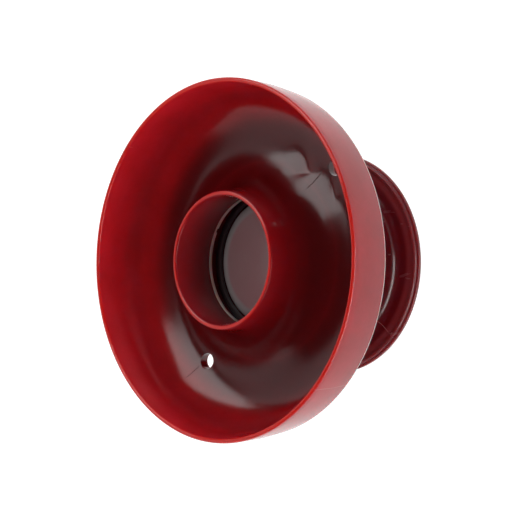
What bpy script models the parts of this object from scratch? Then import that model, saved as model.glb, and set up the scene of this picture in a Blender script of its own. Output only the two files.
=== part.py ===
"""Automatic poultry waterer fount: a moulded trough bowl with a central float
tube, standing on a flanged pedestal that holds a float-operated inlet valve.

Metres, +Z up, origin at the centre of the pedestal's underside.
"""
import math

import bmesh
import bpy
from mathutils import Matrix, Vector

MM = 0.001

# Driving dimensions, in millimetres. -----------------------------------------
RIM_R = 100.0            # outer radius of the bowl's rim
RIM_Z = 100.0            # height of the rim above the floor
WALL = 2.5               # moulded wall of the trough
BAND_R = 97.5            # outer radius at the lower edge of the band
BAND_Z = 71.3            # height of the band's lower edge
TROUGH_R = 68.0          # radius of the deepest ring of the trough
TROUGH_Z = 60.8          # height of the deepest ring
TUBE_MOUTH_Z = 95.8      # top of the central tube
TUBE_MOUTH_R = 38.3      # outer radius of the tube at its mouth
BORE_MOUTH_R = 35.6      # bore of the tube at its mouth
BORE_LIP_R = 36.5        # bead inside the tube's lower end
BORE_GROOVE_R = 37.2     # relief in the bore just above that bead
LIP_Z = 66.0             # lower end of the tube
GALLERY_R = 39.6         # undercut water gallery below the lip
COLLAR_IN_R = 41.3       # counterbore that takes the pedestal
COLLAR_OUT_R = 44.0
SHOULDER_Z = 59.6        # roof of the counterbore
COLLAR_Z = 54.5          # lower end of the collar
FIXING_HOLE_R = 4.65     # two fixing holes through the trough floor
FIXING_RING_R = 73.0
FIXING_AZIMUTHS = (44.5, 232.7)
BOSS_R = 7.0
BOSS_Z = 56.4

NECK_R = 39.0            # pedestal neck
NECK_BORE_R = 36.8
NECK_TOP_Z = 57.0
BEAD_R = 41.0            # bead on the neck that the lock ring holds
HUB_R = 48.4             # round hub between the neck and the foot's flange
HUB_TOP_Z = 22.3
HUB_FILLET = 5.0
SHOULDER_ROUND = 5.0
FLANGE_Z = 3.0           # upper face of the foot's flange, inside its rim
FOOT_R = 64.3
FOOT_RIM_Z = 3.6
WEB_Z = 20.0             # underside of the web that carries the valve
WEB_T = 2.5
BULKHEAD_R = 6.3         # hole in the web

FLOAT_R = 36.0
FLOAT_TOP_Z = 60.3       # float resting on the lever stop, valve open
FLOAT_LOW_Z = 45.5       # lower edge of the float's skirt
FLOAT_RISE = 14.0        # travel from empty to full
FLOAT_ROOF = 1.5
LINK_X = -25.6           # line of the link pin, off the float's centre

PIVOT_X = -5.0
PIVOT_Z = 51.0
ARM = 21.0               # pivot to float end
NOSE = 5.0               # pivot to plunger axis
SWING = 2.0 * math.asin(0.5 * FLOAT_RISE / ARM)
PLUNGER_STROKE = 2.0 * NOSE * math.sin(0.5 * SWING)
PIN_R = 1.25
PIN_HOLE_R = 1.55
SEAT_TIP_Z = 37.0        # brass nozzle that the plunger's seal closes
GAP = 0.3                # clearance between neighbouring pieces

BOWL_SEGMENTS = 52
NECK_SEGMENTS = 40
SMALL_SEGMENTS = 20

RED = (0.27, 0.008, 0.012)
SMOKE = (0.42, 0.38, 0.39)
BLACK = (0.02, 0.018, 0.018)
IVORY = (0.72, 0.68, 0.58)
BRASS = (0.72, 0.53, 0.24)
STEEL = (0.62, 0.63, 0.64)


# Materials and helpers. -------------------------------------------------------
def material(name, colour, roughness, metallic=0.0):
    """Plain Principled material for one piece."""
    mat = bpy.data.materials.new(name)
    mat.use_nodes = True
    shader = mat.node_tree.nodes["Principled BSDF"]
    shader.inputs["Base Color"].default_value = (*colour, 1.0)
    shader.inputs["Roughness"].default_value = roughness
    shader.inputs["Metallic"].default_value = metallic
    mat.diffuse_color = (*colour, 1.0)
    return mat


def new_object(name, bm, mat=None, smooth_deg=35.0):
    """Closes a bmesh into an object with outward faces and smooth round sides."""
    bmesh.ops.remove_doubles(bm, verts=bm.verts, dist=1e-7)
    bmesh.ops.recalc_face_normals(bm, faces=bm.faces)
    mesh = bpy.data.meshes.new(name)
    bm.to_mesh(mesh)
    bm.free()
    mesh.shade_smooth()
    mesh.set_sharp_from_angle(angle=math.radians(smooth_deg))
    obj = bpy.data.objects.new(name, mesh)
    bpy.context.scene.collection.objects.link(obj)
    if mat:
        mesh.materials.append(mat)
    return obj


def lathe(name, outline, segments, mat=None, centre=(0.0, 0.0)):
    """Turns a closed outline of (radius, height) points in mm about a vertical line."""
    bm = bmesh.new()
    verts = [bm.verts.new((r * MM, 0.0, z * MM)) for r, z in outline]
    edges = [bm.edges.new((a, b)) for a, b in zip(verts, verts[1:] + verts[:1])
             if not (a.co.x == 0.0 and b.co.x == 0.0)]
    bmesh.ops.spin(bm, geom=verts + edges, cent=(0, 0, 0), axis=(0, 0, 1),
                   angle=math.tau, steps=segments, use_merge=True)
    bmesh.ops.translate(bm, verts=bm.verts, vec=(centre[0] * MM, centre[1] * MM, 0.0))
    return new_object(name, bm, mat)


def plate(name, outline, y_low, y_high, mat=None):
    """Extrudes a closed outline of (x, z) points in mm along Y."""
    bm = bmesh.new()
    verts = [bm.verts.new((x * MM, y_low * MM, z * MM)) for x, z in outline]
    face = bm.faces.new(verts)
    side = bmesh.ops.extrude_face_region(bm, geom=[face])
    moved = [v for v in side["geom"] if isinstance(v, bmesh.types.BMVert)]
    bmesh.ops.translate(bm, verts=moved, vec=(0.0, (y_high - y_low) * MM, 0.0))
    return new_object(name, bm, mat)


def box(name, low, high):
    """Box between two corners in mm."""
    outline = [(low[0], low[2]), (high[0], low[2]), (high[0], high[2]), (low[0], high[2])]
    return plate(name, outline, low[1], high[1])


def rod(name, radius, start, end, segments=SMALL_SEGMENTS, mat=None):
    """Cylinder between two points in mm."""
    a, b = Vector(start), Vector(end)
    bm = bmesh.new()
    turn = Vector((0, 0, 1)).rotation_difference(b - a).to_matrix().to_4x4()
    place = Matrix.Translation((a + b) / 2 * MM) @ turn
    bmesh.ops.create_cone(bm, cap_ends=True, segments=segments, radius1=radius * MM,
                          radius2=radius * MM, depth=(b - a).length * MM, matrix=place)
    return new_object(name, bm, mat)


def boolean(target, tool, operation):
    """Keeps an exact Boolean on the target and hides the tool."""
    mod = target.modifiers.new(operation.title(), "BOOLEAN")
    mod.operation = operation
    mod.solver = "EXACT"
    mod.object = tool
    tool.hide_render = True
    tool.display_type = "WIRE"


def join_to(target, *tools):
    for tool in tools:
        boolean(target, tool, "UNION")


def cut_from(target, *tools):
    for tool in tools:
        boolean(target, tool, "DIFFERENCE")


def arc(centre_r, centre_z, a, b, start_deg, end_deg, steps):
    """Points of an elliptical arc in the (radius, height) plane, ends included."""
    points = []
    for i in range(steps + 1):
        t = math.radians(start_deg + (end_deg - start_deg) * i / steps)
        points.append((centre_r + a * math.cos(t), centre_z + b * math.sin(t)))
    return points


def origin_to(obj, x, y, z):
    """Puts an object's origin at a point in mm and leaves its shape where it is."""
    shift = Vector((x, y, z)) * MM
    obj.data.transform(Matrix.Translation(-shift))
    obj.location = shift


def ride_with(parent, *children):
    """Parents pieces to the piece they are fixed to."""
    for child in children:
        child.parent = parent
        child.matrix_parent_inverse = Matrix.Translation(-parent.location)


# Red mouldings. ---------------------------------------------------------------
def trough_bowl(mat):
    """Bowl, trough and central tube in one moulding, with a skirted outer band."""
    out_a, out_z = 28.0, 87.0        # trough's outer slope: half-width and centre height
    in_a, in_z = 29.1, 86.0          # trough's slope up to the tube
    out_b, in_b = out_z - TROUGH_Z, in_z - TROUGH_Z
    collar_deg = 180.0 + math.degrees(math.acos((TROUGH_R - COLLAR_OUT_R) / (in_a + WALL)))
    outline = [(BORE_MOUTH_R, TUBE_MOUTH_Z - 0.8), (BORE_MOUTH_R + 0.5, TUBE_MOUTH_Z - 0.1),
               (TUBE_MOUTH_R - 0.5, TUBE_MOUTH_Z), (TUBE_MOUTH_R, TUBE_MOUTH_Z - 0.8)]
    outline += arc(TROUGH_R, in_z, in_a, in_b, 180, 270, 10)
    outline += arc(TROUGH_R, out_z, out_a, out_b, 270, 360, 10)[1:]
    outline += [(97.4, RIM_Z - 1.2), (97.9, RIM_Z - 0.2), (RIM_R - 0.7, RIM_Z),
                (RIM_R, RIM_Z - 0.8), (RIM_R - 0.8, 85.0), (BAND_R, BAND_Z + 0.9),
                (BAND_R - 0.6, BAND_Z), (BAND_R - 2.2, BAND_Z)]
    outline += arc(TROUGH_R, out_z, out_a + WALL, out_b + WALL, -28, -90, 6)
    outline += arc(TROUGH_R, in_z, in_a + WALL, in_b + WALL, 270, collar_deg, 5)[1:]
    outline += [(COLLAR_OUT_R, COLLAR_Z), (COLLAR_IN_R, COLLAR_Z),
                (COLLAR_IN_R, SHOULDER_Z), (GALLERY_R, SHOULDER_Z),
                (GALLERY_R, LIP_Z), (BORE_LIP_R + 0.4, LIP_Z), (BORE_LIP_R, LIP_Z + 0.4),
                (BORE_LIP_R + 0.1, LIP_Z + 1.2), (BORE_GROOVE_R, LIP_Z + 2.2),
                (BORE_GROOVE_R, LIP_Z + 3.4), (BORE_LIP_R, LIP_Z + 8.0)]
    bowl = lathe("trough_bowl", outline, BOWL_SEGMENTS, mat)

    water_way = [(-42.0, 62.3), (-54.0, 62.3), (-54.0, 63.6), (-50.0, 65.8),
                 (-44.5, 69.5), (-42.0, 69.5)]
    join_to(bowl, plate("water_way_wall", water_way, -6.0, 6.0))
    holes = []
    for i, azimuth in enumerate(FIXING_AZIMUTHS):
        t = math.radians(azimuth)
        x, y = FIXING_RING_R * math.cos(t), FIXING_RING_R * math.sin(t)
        join_to(bowl, rod(f"fixing_boss_{i}", BOSS_R, (x, y, BOSS_Z), (x, y, TROUGH_Z - 0.05)))
        holes.append(rod(f"fixing_hole_{i}", FIXING_HOLE_R, (x, y, 50.0), (x, y, 75.0)))
    cut_from(bowl, *holes)
    cut_from(bowl, box("water_way_cut", (-58.0, -4.0, 64.5), (-38.0, 4.0, 67.0)))
    return bowl


def pedestal(mat):
    """Neck, round hub, flanged foot with a beaded rim, and the web that carries the valve."""
    fillet_r, fillet_z = HUB_R + HUB_FILLET, HUB_FILLET + FLANGE_Z
    shoulder_r, shoulder_z = HUB_R - SHOULDER_ROUND, HUB_TOP_Z - SHOULDER_ROUND
    hub_skin = 2.3
    outline = [(NECK_R, NECK_TOP_Z - 2.5), (NECK_R, HUB_TOP_Z)]
    outline += arc(shoulder_r, shoulder_z, SHOULDER_ROUND, SHOULDER_ROUND, 90, 0, 4)
    outline += arc(fillet_r, fillet_z, HUB_FILLET, HUB_FILLET, 180, 270, 5)
    outline += [(60.1, 2.6), (60.8, FOOT_RIM_Z - 0.3), (61.5, FOOT_RIM_Z),
                (62.3, FOOT_RIM_Z - 0.3), (62.9, FOOT_RIM_Z - 1.2),
                (FOOT_R - 0.6, FOOT_RIM_Z - 1.5), (FOOT_R, FOOT_RIM_Z - 2.1),
                (FOOT_R, 0.6), (FOOT_R - 0.6, 0.0), (59.0, 0.0), (58.4, 0.7)]
    outline += arc(fillet_r, fillet_z, HUB_FILLET + hub_skin, HUB_FILLET + hub_skin, 270, 180, 5)
    outline += arc(shoulder_r, WEB_Z - SHOULDER_ROUND + hub_skin,
                   SHOULDER_ROUND - hub_skin, SHOULDER_ROUND - hub_skin, 0, 90, 3)
    outline += [(BULKHEAD_R, WEB_Z), (BULKHEAD_R, WEB_Z + WEB_T),
                (NECK_BORE_R, WEB_Z + WEB_T), (NECK_BORE_R, NECK_TOP_Z),
                (BEAD_R - 0.4, NECK_TOP_Z), (BEAD_R, NECK_TOP_Z - 0.4),
                (BEAD_R, NECK_TOP_Z - 2.5)]
    return lathe("pedestal", outline, NECK_SEGMENTS, mat)


def lock_ring(mat):
    """Ring that clamps the neck's bead up against the bowl, with grip ribs."""
    flange_z, ring_r, ribs = 51.5, 47.4, 12
    outline = [(NECK_R + GAP + 0.1, flange_z), (ring_r, flange_z), (ring_r, 60.0),
               (COLLAR_OUT_R + GAP, 60.0), (COLLAR_OUT_R + GAP, COLLAR_Z - GAP),
               (NECK_R + GAP + 0.1, COLLAR_Z - GAP)]
    ring = lathe("lock_ring", outline, NECK_SEGMENTS, mat)
    for i in range(ribs):
        t = math.tau * (i + 0.5) / ribs
        x, y = ring_r * math.cos(t), ring_r * math.sin(t)
        rib = rod(f"grip_rib_{i}", 1.3, (x, y, flange_z + 0.8), (x, y, 59.2), 8)
        join_to(ring, rib)
    return ring


def neck_gasket(mat):
    """Flat rubber ring between the neck's top and the bowl's shoulder."""
    low, high = NECK_TOP_Z + GAP, SHOULDER_Z - GAP
    bore = NECK_BORE_R - 0.2         # laps the neck's bore a little
    outline = [(bore, low), (BEAD_R, low), (BEAD_R, high), (bore, high)]
    return lathe("neck_gasket", outline, NECK_SEGMENTS, mat)


# Inlet and valve. -------------------------------------------------------------
def valve_body(mat):
    """Threaded shank, flange, plunger chamber and the two cheeks of the pivot."""
    flange_z = WEB_Z + WEB_T + 1.8
    outline = [(2.2, 23.5), (3.5, 23.5), (3.5, 13.0), (6.0, 13.0), (6.0, flange_z),
               (11.0, flange_z), (11.0, 27.3), (6.5, 27.3), (6.5, 31.5), (8.3, 33.0),
               (8.3, 43.5), (5.3, 43.5), (5.3, 34.5), (3.9, 34.5), (3.9, 32.5), (2.2, 32.5)]
    body = lathe("valve_body", outline, SMALL_SEGMENTS, mat)
    top = arc(PIVOT_X, PIVOT_Z, 3.0, 3.0, 0, 180, 8)
    cheek = [(PIVOT_X + 3.0, 36.0)] + top + [(PIVOT_X - 3.0, 36.0)]
    for side in (-1, 1):
        low, high = sorted((side * 5.5, side * 7.5))
        join_to(body, plate(f"cheek_{side}", cheek, low, high))
    cut_from(body, box("outlet_windows", (-12.0, -2.0, 35.4), (12.0, 2.0, 39.4)))
    cut_from(body, rod("pivot_bore", PIN_HOLE_R, (PIVOT_X, -12, PIVOT_Z), (PIVOT_X, 12, PIVOT_Z)))
    return body


def lock_nut(mat):
    """Hexagonal nut under the web."""
    across_flats, low, high = 18.0, 15.0, WEB_Z - GAP
    corner_r = across_flats / math.sqrt(3.0)
    nut = rod("lock_nut", corner_r, (0, 0, low), (0, 0, high), 6, mat)
    cut_from(nut, rod("nut_bore", BULKHEAD_R, (0, 0, low - 2), (0, 0, high + 2)))
    return nut


def hose_tail(mat):
    """Barbed hose tail with a hexagonal collar, screwed into the shank."""
    outline = [(1.8, 1.5), (3.2, 1.5), (4.1, 3.6), (3.4, 3.7), (4.1, 6.0), (3.4, 6.1),
               (3.4, 9.5), (3.2, 9.5), (3.2, 19.7), (1.8, 19.7)]
    tail = lathe("hose_tail", outline, SMALL_SEGMENTS, mat)
    collar = rod("tail_collar", 13.0 / math.sqrt(3.0), (0, 0, 8.3), (0, 0, 11.3), 6)
    cut_from(collar, rod("tail_collar_bore", 2.5, (0, 0, 7.0), (0, 0, 13.0)))
    join_to(tail, collar)
    return tail


def washer(name, r_in, r_out, low, high, mat, centre=(0.0, 0.0)):
    outline = [(r_in, low), (r_out, low), (r_out, high), (r_in, high)]
    return lathe(name, outline, SMALL_SEGMENTS, mat, centre)


def inlet_screen(mat):
    """Thimble strainer in the shank, open below, with slots round its wall."""
    outline = [(2.0, 20.0), (3.2, 20.0), (3.2, 20.6), (2.6, 20.6), (2.6, 23.2),
               (0.0, 23.2), (0.0, 22.7), (2.0, 22.7)]
    screen = lathe("inlet_screen", outline, SMALL_SEGMENTS, mat)
    for axis in (0, 1):
        low, high = [-4.0, -4.0, 21.0], [4.0, 4.0, 22.3]
        low[axis], high[axis] = -0.6, 0.6
        cut_from(screen, box(f"screen_slot_{axis}", low, high))
    return screen


def nozzle_seat(mat):
    """Brass nozzle pressed into the floor of the chamber."""
    outline = [(0.9, 32.8), (3.6, 32.8), (3.6, 34.8), (3.0, 35.2), (1.9, SEAT_TIP_Z),
               (0.9, SEAT_TIP_Z)]
    return lathe("nozzle_seat", outline, SMALL_SEGMENTS, mat)


def plunger(mat):
    """Stepped plunger; its tip is pushed down by the lever's nose."""
    low = SEAT_TIP_Z + GAP + PLUNGER_STROKE + 0.6
    tip = PIVOT_Z + NOSE * math.sin(0.5 * SWING) - 1.5 - GAP
    outline = [(0.0, low + 1.2), (3.7, low + 1.2), (3.7, low), (4.9, low), (4.9, 46.0),
               (1.6, 46.2), (1.6, tip - 1.4), (1.0, tip), (0.0, tip)]
    return lathe("plunger", outline, SMALL_SEGMENTS, mat)


def plunger_seal(mat):
    """Rubber disc in the plunger's lower face."""
    low = SEAT_TIP_Z + GAP + PLUNGER_STROKE
    outline = [(0.0, low), (3.4, low), (3.4, low + 1.5), (0.0, low + 1.5)]
    return lathe("plunger_seal", outline, SMALL_SEGMENTS, mat)


def lever_arm(mat):
    """Rocking lever: slotted float end, pivot hub and a nose over the plunger."""
    eye_r, hub_r, nose_r = 3.3, 2.8, 1.5
    arm_half, nose_half = 1.9, 1.1
    outline = arc(-ARM, 0.0, eye_r, eye_r, 35, 325, 12)
    outline += [(-NOSE, -arm_half)] + arc(0.0, 0.0, hub_r, hub_r, 220, 318, 5)
    outline += [(NOSE - 1.3, -nose_half)] + arc(NOSE, 0.0, nose_r, nose_r, -120, 120, 8)
    outline += [(NOSE - 1.3, nose_half)] + arc(0.0, 0.0, hub_r, hub_r, 42, 140, 5)
    outline += [(-NOSE, arm_half)]
    arm = plate("lever_arm", outline, -2.5, 2.5, mat)
    join_to(arm, rod("lever_hub", hub_r - 0.2, (0, -5.0, 0), (0, 5.0, 0)))
    cut_from(arm, rod("hub_bore", PIN_HOLE_R, (0, -9, 0), (0, 9, 0)))
    slot = [(x - ARM, z) for x, z in arc(0.7, 0.0, PIN_HOLE_R, PIN_HOLE_R, -90, 90, 8)]
    slot += [(x - ARM, z) for x, z in arc(-0.7, 0.0, PIN_HOLE_R, PIN_HOLE_R, 90, 270, 8)]
    cut_from(arm, plate("eye_slot", slot, -9.0, 9.0))
    turn = Matrix.Rotation(-0.5 * SWING, 4, "Y")
    place = Matrix.Translation(Vector((PIVOT_X, 0.0, PIVOT_Z)) * MM)
    for obj in [arm] + [mod.object for mod in arm.modifiers]:
        obj.data.transform(turn)
        obj.matrix_world = place
    return arm


def headed_pin(name, x, z, half_length, head_r, mat):
    """Pin along Y with a head on its -Y end."""
    pin = rod(name, PIN_R, (x, -half_length, z), (x, half_length, z), 20, mat)
    join_to(pin, rod(f"{name}_head", head_r, (x, -half_length - 1.0, z), (x, -half_length, z), 20))
    return pin


def pin_clip(name, x, z, y, mat):
    """Spring clip on the free end of a pin."""
    clip = rod(name, 2.8, (x, y, z), (x, y + 0.6, z), 20, mat)
    cut_from(clip, rod(f"{name}_bore", PIN_R + 0.3, (x, y - 2, z), (x, y + 2, z), 20))
    cut_from(clip, box(f"{name}_mouth", (x - 4.0, y - 2, z - 0.7), (x, y + 2, z + 0.7)))
    return clip


# Float. -----------------------------------------------------------------------
def float_disc(mat):
    """Bell-shaped float, open below, with a rounded shoulder and a hanger socket."""
    top, shoulder = FLOAT_TOP_Z, FLOAT_TOP_Z - 4.0
    roof = top - FLOAT_ROOF
    outline = [(0.0, top)] + arc(29.0, shoulder, 7.0, 4.0, 90, 0, 6)
    outline += [(FLOAT_R, FLOAT_LOW_Z), (FLOAT_R - 1.6, FLOAT_LOW_Z)]
    outline += arc(28.4, roof - 3.6, 6.0, 3.6, 0, 90, 5) + [(0.0, roof)]
    disc = lathe("float_disc", outline, NECK_SEGMENTS, mat)
    boss_z = roof - 4.0
    join_to(disc, rod("hanger_boss", 4.5, (LINK_X, 0, boss_z), (LINK_X, 0, roof + 0.7)))
    cut_from(disc, rod("hanger_socket", 2.7, (LINK_X, 0, boss_z - 2), (LINK_X, 0, roof)))
    return disc


def float_hanger(mat):
    """Clevis under the float; its two ears carry the link pin."""
    bridge_top = FLOAT_TOP_Z - FLOAT_ROOF - 4.0 - GAP
    pin_z = PIVOT_Z - 0.5 * FLOAT_RISE
    foot = arc(LINK_X, pin_z, 3.2, 3.2, 180, 360, 8)
    outline = [(LINK_X - 3.2, bridge_top)] + foot + [(LINK_X + 3.2, bridge_top)]
    hanger = plate("float_hanger", outline, -5.2, 5.2, mat)
    cut_from(hanger, box("hanger_gap", (LINK_X - 9, -3.0, pin_z - 9), (LINK_X + 9, 3.0, bridge_top - 3)))
    spigot_top = FLOAT_TOP_Z - FLOAT_ROOF - GAP
    join_to(hanger, rod("spigot", 2.4, (LINK_X, 0, bridge_top - 1), (LINK_X, 0, spigot_top)))
    cut_from(hanger, rod("link_bore", PIN_HOLE_R, (LINK_X, -9, pin_z), (LINK_X, 9, pin_z)))
    return hanger


# Assembly. --------------------------------------------------------------------
def main():
    for obj in list(bpy.data.objects):
        bpy.data.objects.remove(obj, do_unlink=True)

    bowl = trough_bowl(material("red moulding, bowl", RED, 0.22))
    ride_with(
        bowl,
        pedestal(material("red moulding, pedestal", RED, 0.24)),
        neck_gasket(material("black rubber, neck gasket", BLACK, 0.6)),
        lock_nut(material("ivory nylon, lock nut", IVORY, 0.4)),
        washer("body_washer", BULKHEAD_R, 11.0, 22.8, 24.0,
               material("black rubber, body washer", BLACK, 0.6)),
        nozzle_seat(material("brass, nozzle", BRASS, 0.3, 1.0)),
        inlet_screen(material("steel, inlet screen", STEEL, 0.35, 1.0)),
        hose_tail(material("ivory nylon, hose tail", IVORY, 0.4)),
        washer("tail_washer", 3.6, 5.9, 11.6, 12.7,
               material("black rubber, tail washer", BLACK, 0.6)),
        valve_body(material("ivory acetal, valve body", IVORY, 0.38)),
        headed_pin("pivot_pin", PIVOT_X, PIVOT_Z, 8.9, 2.3,
                   material("steel, pivot pin", STEEL, 0.25, 1.0)),
        pin_clip("pivot_clip", PIVOT_X, PIVOT_Z, 7.9,
                 material("steel, pivot clip", STEEL, 0.3, 1.0)))

    ring = lock_ring(material("red moulding, lock ring", RED, 0.3))
    origin_to(ring, 0.0, 0.0, 0.0)

    lever_arm(material("ivory acetal, lever", IVORY, 0.35))

    rod_plunger = plunger(material("ivory acetal, plunger", IVORY, 0.35))
    ride_with(rod_plunger, plunger_seal(material("black rubber, plunger seal", BLACK, 0.6)))

    disc = float_disc(material("smoke polypropylene, float", SMOKE, 0.18))
    pin_z = PIVOT_Z - 0.5 * FLOAT_RISE
    ride_with(
        disc,
        float_hanger(material("ivory acetal, float hanger", IVORY, 0.38)),
        headed_pin("link_pin", LINK_X, pin_z, 6.6, 2.3,
                   material("steel, link pin", STEEL, 0.25, 1.0)),
        pin_clip("link_clip", LINK_X, pin_z, 5.6,
                 material("steel, link clip", STEEL, 0.3, 1.0)))


main()
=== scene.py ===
"""Looks of the automatic poultry waterer fount: glossy red mouldings, a smoke
grey float and the small valve pieces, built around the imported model.

Laid out as a Blender add-on and run as a script.
"""
import math

import bpy
from mathutils import Matrix, Vector


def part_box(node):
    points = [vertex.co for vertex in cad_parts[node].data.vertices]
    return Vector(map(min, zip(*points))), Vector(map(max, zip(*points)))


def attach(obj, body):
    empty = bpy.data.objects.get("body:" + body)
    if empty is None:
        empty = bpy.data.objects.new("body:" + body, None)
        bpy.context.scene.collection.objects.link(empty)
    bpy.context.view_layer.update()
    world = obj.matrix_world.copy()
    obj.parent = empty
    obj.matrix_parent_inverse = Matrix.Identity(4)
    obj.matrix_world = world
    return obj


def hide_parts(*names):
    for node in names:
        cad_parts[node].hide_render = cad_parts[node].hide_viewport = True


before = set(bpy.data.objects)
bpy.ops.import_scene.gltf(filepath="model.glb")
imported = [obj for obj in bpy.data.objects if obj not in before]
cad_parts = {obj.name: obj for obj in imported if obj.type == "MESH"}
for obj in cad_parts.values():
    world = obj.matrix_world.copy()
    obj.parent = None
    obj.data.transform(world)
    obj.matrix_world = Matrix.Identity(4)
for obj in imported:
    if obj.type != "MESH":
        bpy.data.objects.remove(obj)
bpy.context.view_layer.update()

bl_info = {
    "name": "Poultry waterer fount",
    "version": (1, 0, 0),
    "blender": (4, 5, 0),
    "location": "3D View > Sidebar > Fount",
    "description": "Builds the moulded bowl, pedestal, float and valve of a fount",
    "category": "Add Mesh",
}

MM = 0.001


def span(node):
    """Lowest and highest corners of a node, in millimetres."""
    low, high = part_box(node)
    return Vector(low) / MM, Vector(high) / MM


BOWL_LOW, BOWL_HIGH = span("trough_bowl")
FOOT_HIGH = span("pedestal")[1]
RING_LOW, RING_HIGH = span("lock_ring")
GASKET_LOW, GASKET_HIGH = span("neck_gasket")
FLOAT_LOW, FLOAT_HIGH = span("float_disc")
NUT_LOW, NUT_HIGH = span("lock_nut")
TAIL_LOW, TAIL_HIGH = span("hose_tail")

# Places inside the bowl's moulding, in millimetres.
WALL = 2.5
TROUGH_R, TROUGH_Z = 68.0, 60.8          # deepest ring of the trough
TUBE_MOUTH_R, TUBE_MOUTH_Z = 38.3, 95.8
BORE_MOUTH_R, BORE_LIP_R, BORE_GROOVE_R, LIP_Z = 35.6, 36.5, 37.2, 66.0
GALLERY_R, SHOULDER_Z = 39.6, 59.6
COLLAR_IN_R, COLLAR_OUT_R = 41.3, 44.0
BAND_R, BAND_Z = 97.5, 71.3
HOLE_R, HOLE_RING_R, BOSS_R, BOSS_Z = 4.65, 73.0, 7.0, 56.4
SHADED_FLANK_R = 58.0                            # outer end of the painted shade on the tube's flank
FAR = 200.0                               # beyond the whole part
HOLE_AZIMUTHS = (44.5, 232.7)
GATE_AZIMUTH = 151.5                      # runner notch in the tube's lip
PARTING_AZIMUTH = 138.0                   # plane where the mould's halves met
LIGHT_DISTANCE = 1.2                      # metres from the bowl to each soft box
PAPER_WHITE = 0.97                        # brightness of the floor and backdrop


# Sizes and colours that a user would change. ----------------------------------
class FountSizes(bpy.types.PropertyGroup):
    rim_radius: bpy.props.FloatProperty(
        name="Rim radius", description="Outer radius of the bowl's rim",
        default=BOWL_HIGH.x * MM, unit="LENGTH")
    rim_height: bpy.props.FloatProperty(
        name="Rim height", description="Height of the rim above the floor",
        default=BOWL_HIGH.z * MM, unit="LENGTH")
    turned_steps: bpy.props.IntProperty(
        name="Turned steps", description="Facets round each large turned piece",
        default=240, min=24, max=480)
    sink_depth: bpy.props.FloatProperty(
        name="Sink depth", description="Depth of the sink marks beside the fixing bosses",
        default=0.45 * MM, unit="LENGTH")


class FountColours(bpy.types.PropertyGroup):
    red: bpy.props.StringProperty(
        name="Red", description="Pigment of the red mouldings, sRGB hex", default="AC1B27")
    deep_red: bpy.props.StringProperty(
        name="Deep red", description="Darker streaks in the red pigment, sRGB hex",
        default="9E161F")
    foot_red: bpy.props.StringProperty(
        name="Foot red", description="Pigment of the darker pedestal moulding, sRGB hex",
        default="560C15")
    foot_streak: bpy.props.StringProperty(
        name="Foot streak", description="Darker streaks in the pedestal's pigment, sRGB hex",
        default="4C0B13")
    # The smoke's pink is a painted reflection of the red tube round the float; the milky edge is
    # the float's neutral grey.
    smoke: bpy.props.StringProperty(
        name="Smoke", description="Pinkish translucent grey of the float, sRGB hex",
        default="F0C4C8")
    milk: bpy.props.StringProperty(
        name="Milky edge", description="Lighter grey of the float's thick edge, sRGB hex",
        default="F2F0F0")
    ivory: bpy.props.StringProperty(
        name="Ivory", description="Unpigmented acetal and nylon, sRGB hex", default="DDD6C2")


def sizes():
    """Sizes set in the scene's properties."""
    return bpy.context.scene.fount_sizes


def colours():
    """Colours set in the scene's properties."""
    return bpy.context.scene.fount_colours


# Mesh tools. ------------------------------------------------------------------
def arc(centre, half_widths, start_deg, end_deg, steps):
    """Points of an elliptical arc in the (radius, height) plane, ends included."""
    points = []
    for i in range(steps + 1):
        t = math.radians(start_deg + (end_deg - start_deg) * i / steps)
        points.append((centre[0] + half_widths[0] * math.cos(t),
                       centre[1] + half_widths[1] * math.sin(t)))
    return points


def edge_start(name, size):
    """Adds a small plane, opens it for editing and merges it to one vertex."""
    bpy.ops.object.select_all(action="DESELECT")
    bpy.ops.mesh.primitive_plane_add(size=size, location=(0.0, 0.0, 0.0))
    obj = bpy.context.object
    obj.name = obj.data.name = name
    bpy.ops.object.mode_set(mode="EDIT")
    bpy.ops.mesh.select_all(action="SELECT")
    bpy.ops.mesh.merge(type="CENTER")
    return obj


def trace(points, place):
    """Moves the single vertex to the first point and extrudes it through the rest."""
    start = place(points[0])
    bpy.ops.transform.translate(value=start)
    for a, b in zip(points, points[1:] + points[:1]):
        step = place(b) - place(a)
        bpy.ops.mesh.extrude_vertices_move(TRANSFORM_OT_translate={"value": step})


def finish_mesh(obj, smooth_deg):
    """Merges doubles, turns faces outwards, leaves edit mode and shades the piece."""
    bpy.ops.mesh.select_all(action="SELECT")
    bpy.ops.mesh.remove_doubles(threshold=2e-6)
    bpy.ops.mesh.normals_make_consistent(inside=False)
    bpy.ops.object.mode_set(mode="OBJECT")
    bpy.ops.object.shade_smooth_by_angle(angle=math.radians(smooth_deg))
    return obj


def turned(name, outline, steps, smooth_deg=32.0):
    """Spins a closed outline of (radius, height) millimetres about the Z axis."""
    obj = edge_start(name, 0.5 * MM)
    trace(outline, lambda p: Vector((p[0] * MM, 0.0, p[1] * MM)))
    bpy.ops.mesh.select_all(action="SELECT")
    bpy.ops.mesh.remove_doubles(threshold=2e-6)
    bpy.ops.mesh.select_all(action="SELECT")
    bpy.ops.mesh.spin(steps=steps, angle=math.tau, center=(0, 0, 0), axis=(0, 0, 1))
    return finish_mesh(obj, smooth_deg)


def prism(name, radius, centre, low, high, sides, smooth_deg=32.0):
    """Upright cylinder or prism, placed and sized in millimetres."""
    bpy.ops.object.select_all(action="DESELECT")
    bpy.ops.mesh.primitive_cylinder_add(
        vertices=sides, radius=radius * MM, depth=(high - low) * MM,
        location=(centre[0] * MM, centre[1] * MM, 0.5 * (low + high) * MM))
    obj = bpy.context.object
    obj.name = obj.data.name = name
    settle(obj)
    bpy.ops.object.shade_smooth_by_angle(angle=math.radians(smooth_deg))
    return obj


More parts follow.
